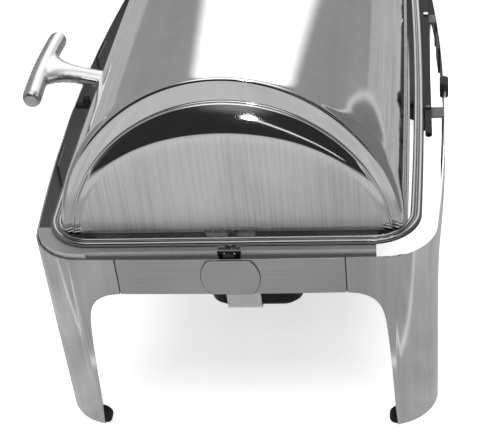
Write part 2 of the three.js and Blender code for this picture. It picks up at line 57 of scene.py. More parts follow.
LID_SHEET = 0.0014
FRAME = dict(half_x=0.340, half_y=0.2165, bow_x=0.003, bow_y=0.020, corner=0.050)
RIM = dict(half_x=0.328, half_y=0.2035, bow_x=0.0, bow_y=0.0065, corner=0.050)
RIM_TOP = 0.2640
RIM_FOOT = 0.2586

# A leg sheet runs from the seam in the end rail, at a Y, to the seam in the side rail, at an X.
END_SEAM, SIDE_SEAM = 0.1250, 0.1306
# Where the leg's two wings stand on the floor.
END_EDGE, SIDE_EDGE = 0.175, 0.292
SEAM_GAP = 0.0012

BARREL, BARREL_END = 0.1930, 0.1903  # radius in the middle of the lid and near its ends
STRAIGHT_END = 0.250  # X where the bowed barrel gives way to the shoulder
PANEL_X = 0.308
HANDLE_Y, HANDLE_Z = -0.274, 0.2945
HANDLE_HALF = 0.0805
HANDLE_BOW = 0.0035
STEM_LENGTH = 0.081
STEM_TILT = math.radians(14)
CUP_X = 0.3364
CORNERS = (
    ("front_right", 1, -1), ("front_left", -1, -1), ("rear_right", 1, 1), ("rear_left", -1, 1),
)
ENDS = (("right", 1), ("left", -1))


# ---------------------------------------------------------------- materials
def new_material(name):
    m = bpy.data.materials.new(name)
    m.use_nodes = True
    nt = m.node_tree
    nt.nodes.clear()
    out = nt.nodes.new("ShaderNodeOutputMaterial")
    bsdf = nt.nodes.new("ShaderNodeBsdfPrincipled")
    nt.links.new(bsdf.outputs[0], out.inputs[0])
    return m, nt, bsdf


def coords(nt, scale):
    tc = nt.nodes.new("ShaderNodeTexCoord")
    mp = nt.nodes.new("ShaderNodeMapping")
    mp.inputs["Scale"].default_value = scale
    nt.links.new(tc.outputs["Object"], mp.inputs["Vector"])
    return mp.outputs["Vector"]


def noise(nt, vector, scale, detail=4.0, rough=0.55):
    n = nt.nodes.new("ShaderNodeTexNoise")
    n.inputs["Scale"].default_value = scale
    n.inputs["Detail"].default_value = detail
    n.inputs["Roughness"].default_value = rough
    nt.links.new(vector, n.inputs["Vector"])
    return n.outputs["Fac"]


def ramp(nt, fac, stops):
    r = nt.nodes.new("ShaderNodeValToRGB")
    els = r.color_ramp.elements
    els[0].position, els[0].color = stops[0][0], (*stops[0][1], 1)
    els[1].position, els[1].color = stops[-1][0], (*stops[-1][1], 1)
    for pos, col in stops[1:-1]:
        e = els.new(pos)
        e.color = (*col, 1)
    nt.links.new(fac, r.inputs["Fac"])
    return r.outputs["Color"]


def spread(nt, fac, low, high):
    r = nt.nodes.new("ShaderNodeMapRange")
    r.inputs["To Min"].default_value = low
    r.inputs["To Max"].default_value = high
    nt.links.new(fac, r.inputs["Value"])
    return r.outputs["Result"]


def bump(nt, bsdf, height, strength, distance):
    b = nt.nodes.new("ShaderNodeBump")
    b.inputs["Strength"].default_value = strength
    b.inputs["Distance"].default_value = distance
    nt.links.new(height, b.inputs["Height"])
    nt.links.new(b.outputs["Normal"], bsdf.inputs["Normal"])


def grey(v, tint=0.0):
    return (v, v, v + tint)


def steel(name, tone, rough, grain, grain_depth, smudge=0.06):
    """Stainless steel: grain is the stretch of the brush lines along X, Y and Z."""
    m, nt, bsdf = new_material(name)
    bsdf.inputs["Metallic"].default_value = 1.0
    lines = noise(nt, coords(nt, grain), 1.0, 3.0, 0.6)
    cloud = noise(nt, coords(nt, (1, 1, 1)), 9.0, 3.0, 0.5)
    mixed = nt.nodes.new("ShaderNodeMath")
    mixed.operation = "ADD"
    nt.links.new(spread(nt, lines, 0.0, 0.6), mixed.inputs[0])
    nt.links.new(spread(nt, cloud, 0.0, 0.4), mixed.inputs[1])
    low, high = tone * (1 - smudge), tone * (1 + smudge)
    nt.links.new(
        ramp(nt, mixed.outputs[0], [(0.3, grey(low)), (0.7, grey(high, 0.004))]),
        bsdf.inputs["Base Color"],
    )
    nt.links.new(spread(nt, mixed.outputs[0], rough * 0.75, rough * 1.3), bsdf.inputs["Roughness"])
    bump(nt, bsdf, lines, grain_depth, 0.0004)
    return m


def dull(name, tone, rough, scale, depth):
    """Moulded plastic, rubber or enamel with a fine pebbled skin and rubbed patches."""
    m, nt, bsdf = new_material(name)
    bsdf.inputs["Specular IOR Level"].default_value = 0.12
    fine = noise(nt, coords(nt, (1, 1, 1)), scale, 3.0)
    worn = noise(nt, coords(nt, (1, 1, 1)), 25.0, 4.0, 0.65)
    nt.links.new(
        ramp(nt, worn, [(0.35, grey(tone)), (0.75, grey(tone * 2.2))]),
        bsdf.inputs["Base Color"],
    )
    nt.links.new(spread(nt, worn, rough * 0.8, min(1.0, rough * 1.25)), bsdf.inputs["Roughness"])
    bump(nt, bsdf, fine, depth, 0.0003)
    return m


def set_shader(material, **values):
    """Uniform values set straight on the shader, with spaces in the names written as underscores."""
    for name, value in values.items():
        material.node_tree.nodes["Principled BSDF"].inputs[name.replace("_", " ")].default_value = value


def painted_shade_on_top(material, share):
    """Faces that look up are painted darker than the upright ones: painted shade on the tops."""
    nt = material.node_tree
    tone = nt.nodes["Principled BSDF"].inputs["Base Color"]
    source = tone.links[0].from_socket
    geometry = nt.nodes.new("ShaderNodeNewGeometry")
    sep = nt.nodes.new("ShaderNodeSeparateXYZ")
    nt.links.new(geometry.outputs["Normal"], sep.inputs[0])
    turn = nt.nodes.new("ShaderNodeMapRange")
    nt.links.new(sep.outputs["Z"], turn.inputs["Value"])
    for socket, value in (("From Min", 0.5), ("From Max", 0.9), ("To Min", 1.0), ("To Max", share)):
        turn.inputs[socket].default_value = value
    scale = nt.nodes.new("ShaderNodeVectorMath")
    scale.operation = "SCALE"
    nt.links.new(source, scale.inputs[0])
    nt.links.new(turn.outputs["Result"], scale.inputs["Scale"])
    nt.links.new(scale.outputs["Vector"], tone)


MIRROR = steel("polished_steel", 0.78, 0.07, (40, 40, 3), 0.02)
LEG = steel("leg_steel", 0.74, 0.13, (90, 90, 4), 0.10, 0.10)
RAIL = steel("rail_brushed", 0.62, 0.30, (6, 8, 900), 0.22, 0.14)
PANEL = steel("panel_brushed", 0.91, 0.30, (12, 420, 8), 0.02, 0.20)
# Dark steel for the inner faces of the rails and legs, the rear brackets and the front splices: painted shade
# of the enclosed inside.
INNER_SHADE = steel("inner_painted_shade", 0.11, 0.55, (60, 60, 60), 0.10, 0.25)
set_shader(INNER_SHADE, Metallic=0.35, Specular_IOR_Level=0.2)
# Dark steel for the lid's skirt below the band: painted shade, standing in for polished steel that mirrors the
# rim's shaded inner side.
SKIRT_SHADE = steel("lid_skirt_painted_shade", 0.22, 0.22, (50, 50, 50), 0.04, 0.3)
# Near-black steel: painted shade on the water pan, hangers, bolts, rear splices, seam backings and badge edge
# lines, which sit in shadow.
DEEP_SHADE = steel("deep_painted_shade", 0.10, 0.45, (30, 30, 30), 0.12, 0.3)
PLATE = steel("plate_steel", 0.62, 0.55, (8, 40, 900), 0.08, 0.06)
set_shader(PLATE, Metallic=0.55)
# the plate steel gets painted shade on its upward faces
painted_shade_on_top(PLATE, 0.42)
SATIN = steel("satin_steel", 0.68, 0.26, (12, 700, 700), 0.06, 0.05)
CAST = steel("cast_steel", 0.66, 0.27, (60, 60, 60), 0.10, 0.10)
BOLT = steel("bolt_steel", 0.62, 0.18, (300, 300, 300), 0.05, 0.08)
RIMSTEEL = steel("rim_steel", 0.36, 0.12, (30, 30, 30), 0.03, 0.08)
PLASTIC = dull("black_plastic", 0.008, 0.45, 900.0, 0.15)
RUBBER = dull("black_rubber", 0.015, 0.6, 1200.0, 0.25)
ENAMEL = dull("black_enamel", 0.008, 0.35, 500.0, 0.10)

BY_SLOT = {
    "polished_steel": LEG,
    "brushed_steel": SATIN,
    "lid_polished": MIRROR,
    "lid_brushed": PANEL,
    "rim_steel": RIMSTEEL,
    "pan_steel": SATIN,
    "cast_handle": CAST,
    "fastener_steel": BOLT,
    "black_plastic": PLASTIC,
    "black_enamel": ENAMEL,
    "rubber": RUBBER,
}
SLOT_OF = {s["node"]: s["material_slot"] for s in frame["record"]["subparts"]}
# The dark steels in this table are painted shade on parts that sit in shadow; the plate steel carries painted
# shade on its upward faces.
OWN_LOOK = {
    "water_pan": DEEP_SHADE,
    "rear_bar_screw_near": DEEP_SHADE,
    "rear_bracket_near": INNER_SHADE,
    "rear_bracket_far": INNER_SHADE,
}
for end, _ in ENDS:
    OWN_LOOK["end_bracket_" + end] = PLATE
    OWN_LOOK["badge_" + end] = RAIL
    OWN_LOOK["pan_hanger_" + end] = DEEP_SHADE
    OWN_LOOK["fuel_strap_" + end] = PLATE
    OWN_LOOK["splice_front_" + end] = INNER_SHADE
    OWN_LOOK["splice_rear_" + end] = DEEP_SHADE
    OWN_LOOK["pivot_bolt_" + end] = DEEP_SHADE
for node_name, node in frame["nodes"].items():
    node.data.materials.clear()
    node.data.materials.append(OWN_LOOK.get(node_name) or BY_SLOT[SLOT_OF[node_name]])


# ---------------------------------------------------------------- mesh helpers
def make_piece(name, verts, faces, material, body, replaces=(), smooth=True):
    me = bpy.data.meshes.new(name)
    me.from_pydata([tuple(v) for v in verts], [], faces)
    me.validate()
    ob = bpy.data.objects.new(name, me)
    bpy.context.collection.objects.link(ob)
    for m in material if isinstance(material, (list, tuple)) else [material]:
        me.materials.append(m)
    for p in me.polygons:
        p.use_smooth = smooth
    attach(ob, body)
    if replaces:
        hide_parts(*replaces)
    return ob


def recalc(ob):
    bm = bmesh.new()
    bm.from_mesh(ob.data)
    bmesh.ops.remove_doubles(bm, verts=bm.verts, dist=1e-6)
    bmesh.ops.recalc_face_normals(bm, faces=bm.faces)
    bm.to_mesh(ob.data)
    bm.free()


def solidify(ob, thickness, offset=-1.0, inner=None):
    m = ob.modifiers.new("sheet", "SOLIDIFY")
    if inner:
        ob.data.materials.append(inner)
        m.material_offset = len(ob.data.materials) - 1
    m.thickness = thickness
    m.offset = offset
    m.use_even_offset = False
    return m


def bevel(ob, width, segments=2, angle=35):
    m = ob.modifiers.new("edge", "BEVEL")
    m.width = width
    m.segments = segments
    m.limit_method = "ANGLE"
    m.angle_limit = math.radians(angle)
    m.harden_normals = True
    return m


def tube(name, points, radius, material, body, closed=True, resolution=2):
    """Round wire through the points."""
    cu = bpy.data.curves.new(name, "CURVE")
    cu.dimensions = "3D"
    cu.bevel_depth = radius
    cu.bevel_resolution = resolution
    cu.use_fill_caps = not closed
    sp = cu.splines.new("POLY")
    sp.points.add(len(points) - 1)
    for p, co in zip(sp.points, points):
        p.co = (*co, 1)
    sp.use_cyclic_u = closed
    ob = bpy.data.objects.new(name, cu)
    bpy.context.collection.objects.link(ob)
    cu.materials.append(material)
    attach(ob, body)
    return ob


def smooth_path(points, per=6):
    """Catmull-Rom curve through points."""
    out = []
    for i in range(len(points) - 1):
        p0 = points[max(i - 1, 0)]
        p1, p2 = points[i], points[i + 1]
        p3 = points[min(i + 2, len(points) - 1)]
        for k in range(per):
            t = k / per
            out.append(tuple(
                0.5 * (
                    2 * b + (c - a) * t + (2 * a - 5 * b + 4 * c - d) * t * t
                    + (3 * b - a - 3 * c + d) * t ** 3
                )
                for a, b, c, d in zip(p0, p1, p2, p3)
            ))
    out.append(points[-1])
    return out


def between(table, value):
    """Linear reading of a table of (position, value) pairs."""
    for (a, va), (b, vb) in zip(table, table[1:]):
        if value <= b:
            return va + (vb - va) * (value - a) / (b - a)
    return table[-1][1]


def sign_of(value):
    return (value > 0) - (value < 0)


def lathe(profile, segments, place):
    """Closed profile of (radius, height) turned about an axis. place maps (x, y, height) to a point."""
    verts, faces = [], []
    n = len(profile)
    for i in range(segments):
        a = 2 * math.pi * i / segments
        for r, h in profile:
            verts.append(place(r * math.cos(a), r * math.sin(a), h))
    for i in range(segments):
        k = (i + 1) % segments
        for j in range(n - 1):
            a, b, c, d = i * n + j, i * n + j + 1, k * n + j + 1, k * n + j
            faces.append([a, b, c, d])
    return verts, faces


def bowed(plan, inset, corner_steps=24, side_steps=60, end_steps=40):
    """Rounded rectangle whose sides bow outwards: points anticlockwise from the middle of +X."""
    hx, hy = plan["half_x"] - inset, plan["half_y"] - inset
    c = plan["corner"] - inset
    pts = []

    def corner(sx, sy, start):
        for i in range(corner_steps + 1):
            a = start + i / corner_steps * math.pi / 2
            pts.append((sx * (hx - c) + c * math.cos(a), sy * (hy - c) + c * math.sin(a)))

    def side(x0, y0, x1, y1, n):
        for i in range(1, n):
            pts.append((x0 + (x1 - x0) * i / n, y0 + (y1 - y0) * i / n))

    corner(1, 1, 0)
    side(hx - c, hy, c - hx, hy, side_steps)
    corner(-1, 1, math.pi / 2)
    side(-hx, hy - c, -hx, c - hy, end_steps)
    corner(-1, -1, math.pi)
    side(c - hx, -hy, hx - c, -hy, side_steps)
    corner(1, -1, 1.5 * math.pi)
    side(hx, c - hy, hx, hy - c, end_steps)
    return [
        (
            x + sign_of(x) * plan["bow_x"] * (1 - (y / hy) ** 2),
            y + sign_of(y) * plan["bow_y"] * (1 - (x / hx) ** 2) + SHIFT_Y,
        )
        for x, y in pts
    ]


# ---------------------------------------------------------------- rim
def roll(centre, half_width, height, steps=8):
    """Half-oval rib of the rim, as points of distance in from the outline and Z."""
    turns = [math.pi * i / steps for i in range(steps + 1)]
    return [(centre - half_width * math.cos(a), RIM_TOP - height + height * math.sin(a)) for a in turns]


def make_rim():
    """Rolled rim: an outer and an inner roll with a groove between them."""
    section = roll(0.0031, 0.0031, 0.0027) + roll(0.0095, 0.0025, 0.0022)
    section += [(0.0120, 0.2590), (0.0112, RIM_FOOT), (0.0010, RIM_FOOT), (0.0, 0.2592)]
    verts, faces = [], []
    rings = [bowed(RIM, s) for s, _ in section]
    count, n = len(rings[0]), len(section)
    for i in range(count):
        for j, (_, z) in enumerate(section):
            x, y = rings[j][i]
            verts.append((x, y, z))
    for i in range(count):
        k = (i + 1) % count
        for j in range(n):
            m = (j + 1) % n
            faces.append([i * n + j, k * n + j, k * n + m, i * n + m])
    ob = make_piece("rim_rolled", verts, faces, RIMSTEEL, "base", ["rim_ring"])
    recalc(ob)


make_rim()


# ---------------------------------------------------------------- legs and rails
# Lower edge of a leg's wing and the arch above it: distance inside the wing's floor edge, and Z.
ARCH_CURVE = smooth_path([
    (0.0, 0.001), (0.0022, 0.028), (0.0058, 0.104), (0.0085, 0.146),
    (0.0108, 0.168), (0.0150, 0.184), (0.0230, 0.1955), (0.0360, 0.2025), (0.0500, 0.2045),
], 5)


def frame_point(axis, value, sx, sy):
    """Point of the frame's outline at a given X on a side ('x') or a given Y on an end ('y')."""
    hx, hy = FRAME["half_x"], FRAME["half_y"]
    if axis == "y":
        x = hx + FRAME["bow_x"] * (1 - (value / hy) ** 2)
        return sx * x, sy * value
    y = hy + FRAME["bow_y"] * (1 - (value / hx) ** 2)
    return sx * value, sy * y


def leg_columns():
    """Stations along the sheet in the +X +Y quadrant: X, Y and the Z of the lower edge."""
    hx, hy, c = FRAME["half_x"], FRAME["half_y"], FRAME["corner"]
    columns = []
    stops = [(END_SEAM, RAIL_BOTTOM)]
    stops += [(END_EDGE - d, z) for d, z in reversed(ARCH_CURVE) if END_EDGE - d > END_SEAM + 0.0005]
    for along, z in stops:
        x, y = frame_point("y", along, 1, 1)
        columns.append((x, y, z))
    corner_steps = 24
    for i in range(corner_steps + 1):
        a = i / corner_steps * math.pi / 2
        bx, by = hx - c + c * math.cos(a), hy - c + c * math.sin(a)
        if by <= END_EDGE:
            continue
        px = bx + FRAME["bow_x"] * (1 - (by / hy) ** 2)
        py = by + FRAME["bow_y"] * (1 - (bx / hx) ** 2)
        if px < SIDE_EDGE or py < columns[-1][1]:
            continue
        columns.append((px, py, 0.001))
    side = [(SIDE_EDGE - d, z) for d, z in ARCH_CURVE if SIDE_EDGE - d > SIDE_SEAM]
    last_x = side[-1][0]
    side += [(last_x + (SIDE_SEAM - last_x) * k / 14, RAIL_BOTTOM) for k in range(1, 15)]
    for along, z in side:
        if along >= columns[-1][0] - 0.0002 and z <= 0.002:
            continue
        if along > hx - c:
            a = math.acos(min(1, (along - (hx - c)) / c))
            y = hy - c + c * math.sin(a) + FRAME["bow_y"] * (1 - (along / hx) ** 2)
            columns.append((along, y, z))
        else:
            x, y = frame_point("x", along, 1, 1)
            columns.append((x, y, z))
    return columns


def make_leg(name, sx, sy):
    """Bent sheet from the side seam round the corner to the end seam, with the arch cut in both wings."""
    columns = leg_columns()
    rows = 26
    verts, faces = [], []
    for x, y, z in columns:
        for r in range(rows + 1):
            verts.append((sx * x, sy * y + SHIFT_Y, z + (RAIL_TOP - z) * r / rows))
    for i in range(len(columns) - 1):
        for r in range(rows):
            a = i * (rows + 1) + r
            quad = [a, a + 1, a + rows + 2, a + rows + 1]
            faces.append(quad if sx * sy < 0 else quad[::-1])
    ob = make_piece("leg_sheet_" + name, verts, faces, LEG, "base", ["leg_" + name])
    solidify(ob, SHEET, -1.0, INNER_SHADE)
    bevel(ob, 0.0005, 2, 50)


for corner_name, sx, sy in CORNERS:
    make_leg(corner_name, sx, sy)


def make_rail(name, axis, sx, sy, half, material):
    """Rail sheet between two seams, with its lower and upper edge rounded."""
    n, rows = 40, 10
    verts, faces = [], []
    for i in range(n + 1):
        v = -half + 2 * half * i / n
        if axis == "y":
            x, y = frame_point("y", abs(v), sx, 1 if v > 0 else -1)
        else:
            x, y = frame_point("x", abs(v), 1 if v > 0 else -1, sy)
        for r in range(rows + 1):
            verts.append((x, y + SHIFT_Y, RAIL_BOTTOM + (RAIL_TOP - RAIL_BOTTOM) * r / rows))
    flip = (axis == "y" and sx > 0) or (axis == "x" and sy < 0)
    for i in range(n):
        for r in range(rows):
            a = i * (rows + 1) + r
            quad = [a, a + rows + 1, a + rows + 2, a + 1]
            faces.append(quad if flip else quad[::-1])
    ob = make_piece("sheet_" + name, verts, faces, material, "base", [name])
    solidify(ob, SHEET, -1.0, INNER_SHADE)
    bevel(ob, 0.0005, 2, 50)


END_RAIL_HALF = END_SEAM - SEAM_GAP
SIDE_RAIL_HALF = SIDE_SEAM - 0.0010
make_rail("rail_end_right", "y", 1, 0, END_RAIL_HALF, RAIL)
make_rail("rail_end_left", "y", -1, 0, END_RAIL_HALF, RAIL)
make_rail("rail_front", "x", 0, -1, SIDE_RAIL_HALF, LEG)
make_rail("rail_rear", "x", 0, 1, SIDE_RAIL_HALF, LEG)


# ---------------------------------------------------------------- lid
def blended(side, crown, steps, sign, material, name, replaces, flip=False):
    """Sheet swept over the barrel from the front base edge to the rear one, blended from side to crown."""
    n = len(side)
    lo = math.asin((LID_BASE - PIVOT_Z) / 0.20) * 0.2  # starts a little under the base, then is cut level
    verts, faces = [], []
    for i in range(steps + 1):
        a = lo + (math.pi - 2 * lo) * i / steps
        share = math.sin(a) ** 2
        for (x0, r0), (x1, r1) in zip(side, crown):
            x, r = x0 + (x1 - x0) * share, r0 + (r1 - r0) * share
            verts.append((sign * x, -r * math.cos(a) + SHIFT_Y, PIVOT_Z + r * math.sin(a)))
    for i in range(steps):
        for j in range(n - 1):
            a = i * n + j
            quad = [a, a + 1, a + n + 1, a + n]
            faces.append(quad if (sign > 0) != flip else quad[::-1])
    ob = make_piece(name, verts, faces, material, "lid", replaces)
    bm = bmesh.new()
    bm.from_mesh(ob.data)
    bmesh.ops.remove_doubles(bm, verts=bm.verts, dist=1e-7)
    bmesh.ops.bisect_plane(
        bm, geom=bm.verts[:] + bm.edges[:] + bm.faces[:], plane_co=(0, 0, LID_BASE),
        plane_no=(0, 0, 1), clear_inner=True,
    )
    bmesh.ops.bisect_plane(
        bm, geom=bm.verts[:] + bm.edges[:] + bm.faces[:], plane_co=(0, 0, BAND_TOP), plane_no=(0, 0, 1),
    )
    bm.to_mesh(ob.data)
    bm.free()
    # Faces below the band get the dark skirt steel: painted shade inside the rim.
    ob.data.materials.append(SKIRT_SHADE)
    for p in ob.data.polygons:
        if p.center[2] < BAND_TOP:
            p.material_index = len(ob.data.materials) - 1
    return ob


def barrel_profile(shoulder):
    xs = [i / 14 * STRAIGHT_END for i in range(1, 15)]
    half = [(x, BARREL - (BARREL - BARREL_END) * (x / 0.280) ** 2) for x in xs] + shoulder
    return [(-x, r) for x, r in reversed(half)] + [(0.0, BARREL)] + half


# Shoulder of the barrel, from the barrel to the edge of the end panel: X and radius.
SHOULDER_SIDE = smooth_path([
    (0.262, 0.1906), (0.282, 0.1903), (0.294, 0.1895), (0.3020, 0.1874),
    (0.3054, 0.1836), (0.3064, 0.1785), (0.3066, 0.1736),
], 5)
SHOULDER_CROWN = smooth_path([
    (0.262, 0.1906), (0.279, 0.1903), (0.2848, 0.1896), (0.2866, 0.1874),
    (0.2869, 0.1830), (0.2871, 0.175), (0.2874, 0.1637),
], 5)


def make_barrel():
    shell = blended(
        barrel_profile(SHOULDER_SIDE), barrel_profile(SHOULDER_CROWN), 120, 1, MIRROR, "lid_barrel",
        ["lid_shell", "lid_shoulder_right", "lid_shoulder_left"], flip=True,
    )
    solidify(shell, LID_SHEET, 1.0)
    bevel(shell, 0.0004, 2, 60)


def make_panel(end, sign):
    """End panel: a flat D face, and a crescent that slopes back to the barrel, widest at the crown."""
    flat = [(PANEL_X, r) for r in (0.0, 0.02, 0.05, 0.08)]
    inner_side = flat + [(PANEL_X, r) for r in (0.11, 0.150, 0.164)]
    inner_crown = flat + [(PANEL_X, r) for r in (0.105, 0.128, 0.135)]
    crescent_side = smooth_path([
        (PANEL_X, 0.164), (PANEL_X - 0.0001, 0.168), (0.3072, 0.1715), (0.3066, 0.1732),
    ], 4)[1:]
    crescent_crown = smooth_path([
        (PANEL_X, 0.135), (0.3062, 0.141), (0.2990, 0.151), (0.2874, 0.1632),
    ], 4)[1:]
    panel = blended(
        inner_side + crescent_side, inner_crown + crescent_crown, 96, sign, [PANEL, MIRROR],
        "lid_panel_" + end, ["lid_end_" + end],
    )
    for p in panel.data.polygons:
        c = p.center
        r = math.hypot(c[1] - SHIFT_Y, c[2] - PIVOT_Z)
        share = ((c[2] - PIVOT_Z) / max(r, 1e-6)) ** 2
        if r > 0.166 - 0.0295 * share and c[2] > BAND_TOP:
            p.material_index = 1
    solidify(panel, LID_SHEET, -1.0)


def make_lip(end, sign):
    """Bright lip where the panel is rolled over the barrel's edge."""
    points = []
    for i in range(121):
        a = math.pi * i / 120
        share = math.sin(a) ** 2
        x = 0.3066 + (0.2874 - 0.3066) * share
        r = 0.1734 + (0.1635 - 0.1734) * share
        z = PIVOT_Z + r * math.sin(a)
        if z > BAND_TOP:
            points.append((sign * (x + 0.0006), -r * math.cos(a) + SHIFT_Y, z))
    lip = tube("lid_lip_" + end, points, 0.0017, MIRROR, "lid", closed=False, resolution=3)


make_barrel()
for end, sign in ENDS:
    make_panel(end, sign)
    make_lip(end, sign)


# ---------------------------------------------------------------- handle
def make_handle():
    """Cast T handle: a turned bar and an oval stem that spreads into it, blended into one casting."""
    half = HANDLE_HALF
    profile = [
        (0.0, -half), (0.0080, -half + 0.0010), (0.0112, -half + 0.0045), (0.0121, -half + 0.012),
        (0.0121, -half + 0.03), (0.0121, -0.03), (0.0122, 0.0),
    ]
    profile += [(r, -h) for r, h in reversed(profile[:-1])]
    bar, bar_faces = lathe(
        smooth_path(profile, 5), 48,
        lambda x, y, h: (h, HANDLE_Y + x + HANDLE_BOW * (h / half) ** 2 + SHIFT_Y, HANDLE_Z + y),
    )
    out = Vector((0, -math.cos(STEM_TILT), math.sin(STEM_TILT)))
    up = Vector((0, math.sin(STEM_TILT), math.cos(STEM_TILT)))
    root = Vector((0, HANDLE_Y + SHIFT_Y, HANDLE_Z)) - out * STEM_LENGTH
    # half width and half thickness of the stem, by the distance from its root
    wide = [
        (0, 0.0155), (0.006, 0.0144), (0.030, 0.0144), (0.042, 0.0160), (0.051, 0.0190),
        (0.059, 0.0235), (0.066, 0.0300), (0.072, 0.0380), (0.080, 0.0480),
    ]
    thick = [(0, 0.0100), (0.02, 0.0096), (0.05, 0.0100), (0.07, 0.0108), (0.080, 0.0100)]
    stem, stem_faces = [], []
    rings, sides = 54, 48
    for i in range(rings + 1):
        h = 0.0015 + 0.0785 * i / rings
        for j in range(sides):
            a = 2 * math.pi * j / sides
            p = root + out * h + up * (between(thick, h) * math.sin(a))
            stem.append(p + Vector((between(wide, h) * math.cos(a), 0, 0)))
    for i in range(rings):
        for j in range(sides):
            k = (j + 1) % sides
            stem_faces.append([i * sides + j, i * sides + k, (i + 1) * sides + k, (i + 1) * sides + j])
    stem_faces.append(list(range(sides))[::-1])
    stem_faces.append([rings * sides + j for j in range(sides)])
    off = len(bar)
    faces = bar_faces + [[i + off for i in f] for f in stem_faces]
    ob = make_piece("handle_cast", list(bar) + stem, faces, CAST, "lid", ["handle"])
    recalc(ob)
    merge = ob.modifiers.new("blend", "REMESH")
    merge.mode = "VOXEL"
    merge.voxel_size = 0.0012
    merge.use_smooth_shade = True
    soft = ob.modifiers.new("soften", "SMOOTH")
    soft.factor = 0.6
    soft.iterations = 9


make_handle()


# ---------------------------------------------------------------- small details on the end rails
def badge_outline(radius, inset):
    """Circle trimmed flat at the top and bottom of the rail, with small rounded corners."""
    middle = (RAIL_TOP + RAIL_BOTTOM) / 2
    limit = (RAIL_TOP - RAIL_BOTTOM) / 2 - inset
    pts = []
    for i in range(96):
        a = 2 * math.pi * i / 96
        y, z = radius * math.cos(a), radius * math.sin(a)
        z = max(-limit, min(limit, z))
        pts.append((y, middle + z))
    return pts


def box_faces():
    """Faces of eight corners listed with Z running fastest, then Y, then X."""
    return [[0, 1, 3, 2], [4, 6, 7, 5], [0, 4, 5, 1], [2, 3, 7, 6], [0, 2, 6, 4], [1, 5, 7, 3]]


def make_badge_lines(end, sign):
    """Shadow line round the badge, and a fine bright line inside it."""
    edge = [(sign * 0.3436, y + SHIFT_Y, z) for y, z in badge_outline(0.0322, 0.0006)]
    tube("badge_edge_" + end, edge, 0.00045, DEEP_SHADE, "base")
    line = [(sign * 0.34385, y + SHIFT_Y, z) for y, z in badge_outline(0.0306, 0.0024)]
    tube("badge_line_" + end, line, 0.00022, RIMSTEEL, "base")


def make_pivot_cup(end, sign):
    """Dark cup in the end bracket that takes the pivot bolt, with its two rivets."""
    cup = [(-0.0125, 0.2580), (0.0135, 0.2580), (0.0115, 0.2440), (-0.0105, 0.2440)]
    verts = [(sign * x, y + SHIFT_Y, z) for x in (CUP_X - 0.0007, CUP_X) for y, z in cup]
    faces = [[0, 1, 2, 3], [7, 6, 5, 4]] + [[i, 4 + i, 4 + (i + 1) % 4, (i + 1) % 4] for i in range(4)]
    ob = make_piece("pivot_cup_" + end, verts, faces, ENAMEL, "base", smooth=False)
    recalc(ob)
    bevel(ob, 0.0002, 2, 40)
    for k, y in enumerate((-0.0045, 0.0060)):
        v, f = lathe(
            [(0.0, 0.0012), (0.0009, 0.0011), (0.0016, 0.0006), (0.0018, 0.0)], 20,
            lambda a, b, h: (sign * (CUP_X + h), y + a + SHIFT_Y, 0.2545 + b),
        )
        rivet = make_piece("pivot_rivet_%s_%d" % (end, k), v, f, BOLT, "base")
        recalc(rivet)


def make_seam_strips(end, sx):
    """Dark backing sheets in the open seams of the end rail: painted shade."""
    for side, sy in (("rear", 1), ("front", -1)):
        x, y = frame_point("y", END_SEAM - SEAM_GAP / 2, sx, sy)
        depths = (x - sx * (SHEET + 0.0001), x - sx * (SHEET + 0.0005))
        widths = (y + SHIFT_Y - 0.0022, y + SHIFT_Y + 0.0022)
        heights = (RAIL_BOTTOM + 0.0003, RAIL_TOP - 0.0003)
        verts = [(a, b, z) for a in depths for b in widths for z in heights]
        ob = make_piece("seam_%s_%s" % (side, end), verts, box_faces(), DEEP_SHADE, "base", smooth=False)
        recalc(ob)


for end, sign in ENDS:
    make_badge_lines(end, sign)
    make_pivot_cup(end, sign)
for end, sign in ENDS:
    make_seam_strips(end, sign)


# ---------------------------------------------------------------- edges of the remaining parts
REPLACED = {"lid_shell", "lid_shoulder_right", "lid_shoulder_left", "lid_end_right", "lid_end_left", "handle"}
for node_name, node in frame["nodes"].items():
    if node_name in REPLACED or node_name.startswith(("leg_", "rail_")) or node_name == "rim_ring":
        continue
    soft_corner = node_name.startswith(("bumper", "foot"))
    bevel(node, 0.0016 if soft_corner else 0.0004, 3 if soft_corner else 2, 40)


# ---------------------------------------------------------------- stage
def stage_plane(name, corners, material, camera_visible=True):
    me = bpy.data.meshes.new(name)
    me.from_pydata(corners, [], [[0, 1, 2, 3]])
    ob = bpy.data.objects.new(name, me)
    bpy.context.collection.objects.link(ob)
    me.materials.append(material)
    ob.visible_camera = camera_visible
    return ob


def make_floor():
    material, nt, bsdf = new_material("floor")
    bsdf.inputs["Roughness"].default_value = 0.9
    bsdf.inputs["Specular IOR Level"].default_value = 0.1
    bsdf.inputs["Emission Color"].default_value = (1, 1, 1, 1)
    bsdf.inputs["Emission Strength"].default_value = 0.62
    nt.links.new(
        ramp(nt, noise(nt, coords(nt, (1, 1, 1)), 3.0), [(0.3, grey(0.90)), (0.7, grey(0.93))]),
        bsdf.inputs["Base Color"],
    )
    floor = stage_plane("floor", [(-8, -8, 0), (8, -8, 0), (8, 8, 0), (-8, 8, 0)], material)
    floor.visible_glossy = False


make_floor()


def math_node(nt, op, a, b=None):
    n = nt.nodes.new("ShaderNodeMath")
    n.operation = op
    for i, v in enumerate((a, b)):
        if v is None:
            continue
        if isinstance(v, (int, float)):
            n.inputs[i].default_value = v
        else:
            nt.links.new(v, n.inputs[i])
    return n.outputs[0]


def step(nt, value, start, end, low=0.0, high=1.0):
    n = nt.nodes.new("ShaderNodeMapRange")
    n.interpolation_type = "SMOOTHSTEP"
    n.inputs["From Min"].default_value = start
    n.inputs["From Max"].default_value = end
    n.inputs["To Min"].default_value = low
    n.inputs["To Max"].default_value = high
    nt.links.new(value, n.inputs["Value"])
    return n.outputs["Result"]


